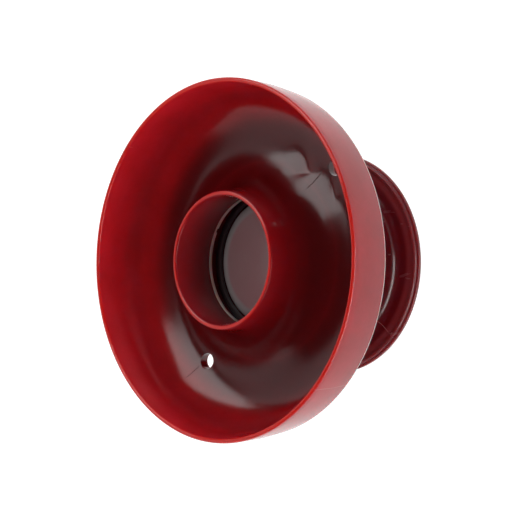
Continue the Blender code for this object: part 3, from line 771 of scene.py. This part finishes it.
class FOUNT_OT_inlet(bpy.types.Operator):
    """Builds the chamfered lock nut and the barbed hose tail under the web"""

    bl_idname = "fount.inlet"
    bl_label = "Lock nut and hose tail"

    def execute(self, context):
        low, high, bore = NUT_LOW.z, NUT_HIGH.z, 6.3
        corner = 18.0 / math.sqrt(3.0)
        nut = prism("nut_body", corner, (0.0, 0.0), low, high, 6)
        cone = [(0.0, low), (corner - 1.2, low), (corner, low + 0.7), (corner, high - 0.7),
                (corner - 1.2, high), (0.0, high)]
        combine(nut, turned("chamfer", cone, 96), "INTERSECT")
        combine(nut, prism("bore", bore, (0.0, 0.0), low - 2.0, high + 2.0, 64), "DIFFERENCE")
        bpy.ops.object.shade_smooth_by_angle(angle=math.radians(32.0))
        ivory = moulded_ivory("ivory nylon, moulded, inlet fittings", 0.42)
        place_piece(nut, "fount", ["lock_nut"], ivory)

        low, high = TAIL_LOW.z, TAIL_HIGH.z
        outline = [(1.8, low + 0.2), (2.0, low), (3.0, low), (3.2, low + 0.2)]
        for crest in (3.6, 6.0):
            outline += [(4.0, crest - 0.1), (4.1, crest), (3.5, crest + 0.15), (3.4, crest + 0.3)]
        outline += [(3.4, 9.5), (3.2, 9.6), (3.2, high - 0.3), (2.9, high), (2.0, high),
                    (1.8, high - 0.2)]
        tail = turned("tail_barb", outline, 64)
        collar = prism("collar", 13.0 / math.sqrt(3.0), (0.0, 0.0), 8.3, 11.3, 6)
        combine(collar, prism("bore", 2.5, (0.0, 0.0), 7.0, 13.0, 48), "DIFFERENCE")
        combine(tail, collar, "UNION")
        bpy.ops.object.shade_smooth_by_angle(angle=math.radians(32.0))
        place_piece(tail, "fount", ["hose_tail"], ivory)
        return {"FINISHED"}


class FOUNT_OT_valve(bpy.types.Operator):
    """Gives the valve's own pieces their acetal, brass, steel and rubber"""

    bl_idname = "fount.valve"
    bl_label = "Valve finishes"

    def execute(self, context):
        acetal = moulded_ivory("ivory acetal, moulded, valve", 0.36)
        rubber = moulded_rubber("black rubber, compression moulded, seals")
        brass = worked_metal("brass, turned, nozzle", "D9B56A", "B08A3E", 0.28, 0.12)
        steel = worked_metal("stainless steel, drawn wire, pins", "C9CBCD", "9EA1A4", 0.26, 0.08)
        finishes = {
            "valve_body": acetal, "lever_arm": acetal, "plunger": acetal,
            "float_hanger": acetal, "body_washer": rubber, "tail_washer": rubber,
            "plunger_seal": rubber, "nozzle_seat": brass, "inlet_screen": steel,
            "pivot_pin": steel, "pivot_clip": steel, "link_pin": steel, "link_clip": steel,
        }
        for node, material in finishes.items():
            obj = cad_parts[node]
            if not obj.material_slots:
                obj.data.materials.append(material)
            for slot in obj.material_slots:
                slot.material = material
        return {"FINISHED"}


def soft_box(name, toward, width, height, lights_what, brightness):
    """Area light at a direction from the bowl, facing it."""
    data = bpy.data.lights.new(name, "AREA")
    data.shape = "RECTANGLE"
    data.size, data.size_y = width, height
    data.energy = brightness * math.pi * width * height
    light = bpy.data.objects.new(name, data)
    bpy.context.scene.collection.objects.link(light)
    away = Vector(toward).normalized()
    light.location = Vector((0.0, 0.0, 80.0 * MM)) + LIGHT_DISTANCE * away
    light.rotation_mode = "QUATERNION"
    light.rotation_quaternion = away.to_track_quat("Z", "Y")
    light.visible_diffuse, light.visible_glossy = lights_what
    light.visible_camera = False


class FOUNT_OT_stage(bpy.types.Operator):
    """Lays the pale floor, hangs the soft lights and places the camera"""

    bl_idname = "fount.stage"
    bl_label = "Stage"

    def execute(self, context):
        self.floor()
        self.world()
        self.lights()
        self.camera()
        context.scene.view_settings.view_transform = "Standard"
        return {"FINISHED"}

    def floor(self):
        """Pale board under the foot, bright enough to read as paper white."""
        bpy.ops.object.select_all(action="DESELECT")
        bpy.ops.mesh.primitive_plane_add(size=30.0, location=(0.0, 0.0, -0.3 * MM))
        floor = bpy.context.object
        floor.name = "floor"
        material, tree = new_material("white paper sweep")
        shader = add_node(tree, "ShaderNodeBsdfPrincipled", {},
                          {"Base Color": (0.3, 0.3, 0.3, 1.0), "Roughness": 0.9,
                           "Emission Color": (1.0, 1.0, 1.0, 1.0),
                           "Emission Strength": PAPER_WHITE})
        add_node(tree, "ShaderNodeOutputMaterial", {}, {"Surface": shader.outputs[0]})
        floor.data.materials.append(material)
        floor.visible_diffuse = floor.visible_shadow = False

    def world(self):
        """Dim room, with a pale backdrop for the camera."""
        world = bpy.data.worlds.new("studio")
        bpy.context.scene.world = world
        world.use_nodes = True
        tree = world.node_tree
        tree.nodes.clear()
        path = add_node(tree, "ShaderNodeLightPath")
        dim = add_node(tree, "ShaderNodeBackground", {}, {"Color": (1, 1, 1, 1), "Strength": 0.03})
        pale = add_node(tree, "ShaderNodeBackground", {},
                        {"Color": (1, 1, 1, 1), "Strength": PAPER_WHITE})
        mixed = add_node(tree, "ShaderNodeMixShader", {},
                         {0: path.outputs["Is Camera Ray"], 1: dim.outputs[0], 2: pale.outputs[0]})
        add_node(tree, "ShaderNodeOutputWorld", {}, {"Surface": mixed.outputs[0]})

    def lights(self):
        """Soft boxes and pale walls round the bowl, as bright as the last number says.

        1.0 is the brightness of white paper. The key box, low strip and pale wall
        light the gloss. The low walls and the boards below and above light the
        pigment, and stay out of the gloss.
        """
        gloss, pigment = (False, True), (True, False)
        soft_box("key_box", (-0.28, 0.57, 0.77), 1.00, 0.86, gloss, 3.0)
        soft_box("low_strip", (0.90, -0.40, 0.09), 1.60, 0.34, gloss, 8.0)
        soft_box("pale_wall", (-0.80, -0.22, 0.50), 1.90, 0.95, gloss, 0.6)
        soft_box("under_board", (0.0, 0.0, -1.0), 6.0, 6.0, pigment, 0.25)
        soft_box("roof_board", (0.10, 0.0, 1.0), 0.60, 0.60, pigment, 1.4)
        walls = 8
        for i in range(walls):
            t = math.tau * (i + 0.5) / walls
            toward = (math.cos(t), math.sin(t), 0.23)
            brightness = 2.75 - 0.4 * math.cos(2.0 * t) - 0.5 * math.sin(2.0 * t)
            soft_box(f"low_wall_{i}", toward, 1.0, 0.50, pigment, brightness)

    def camera(self):
        """Long lens looking down into the bowl, rolled so that the bowl opens to the left."""
        tilt, lean = math.radians(43.87), math.radians(1.90)
        rim_r = sizes().rim_radius
        rim_in_view = Vector((-0.2245, -0.0214, -9.0)) * rim_r
        up_axis = Vector((-math.sin(tilt) * math.cos(lean), math.sin(tilt) * math.sin(lean),
                          math.cos(tilt)))
        x_axis = Vector((0.0, 1.0, 0.0)).cross(up_axis).normalized()
        y_axis = up_axis.cross(x_axis)
        to_object = Matrix((x_axis, y_axis, up_axis))
        data = bpy.data.cameras.new("camera")
        data.lens = 115.77
        data.sensor_width = 36.0
        data.clip_end = 100.0
        camera = bpy.data.objects.new("camera", data)
        bpy.context.scene.collection.objects.link(camera)
        rim_centre = Vector((0.0, 0.0, sizes().rim_height))
        camera.matrix_world = (Matrix.Translation(rim_centre - to_object @ rim_in_view)
                               @ to_object.to_4x4())
        bpy.context.scene.camera = camera


class FOUNT_PT_panel(bpy.types.Panel):
    """Sidebar panel that lists the fount's builders"""

    bl_label = "Poultry waterer fount"
    bl_idname = "FOUNT_PT_panel"
    bl_space_type = "VIEW_3D"
    bl_region_type = "UI"
    bl_category = "Fount"

    def draw(self, context):
        column = self.layout.column()
        for group in (context.scene.fount_sizes, context.scene.fount_colours):
            for name in type(group).__annotations__:
                column.prop(group, name)
        for operator in OPERATORS:
            column.operator(operator.bl_idname)


OPERATORS = (FOUNT_OT_bowl, FOUNT_OT_pedestal, FOUNT_OT_lock_ring, FOUNT_OT_float,
             FOUNT_OT_inlet, FOUNT_OT_valve, FOUNT_OT_stage)
CLASSES = (FountSizes, FountColours, *OPERATORS, FOUNT_PT_panel)


def register():
    for cls in CLASSES:
        bpy.utils.register_class(cls)
    bpy.types.Scene.fount_sizes = bpy.props.PointerProperty(type=FountSizes)
    bpy.types.Scene.fount_colours = bpy.props.PointerProperty(type=FountColours)


def unregister():
    del bpy.types.Scene.fount_colours
    del bpy.types.Scene.fount_sizes
    for cls in reversed(CLASSES):
        bpy.utils.unregister_class(cls)


def main():
    register()
    for operator in OPERATORS:
        group, name = operator.bl_idname.split(".")
        getattr(getattr(bpy.ops, group), name)()


if __name__ == "__main__":
    main()
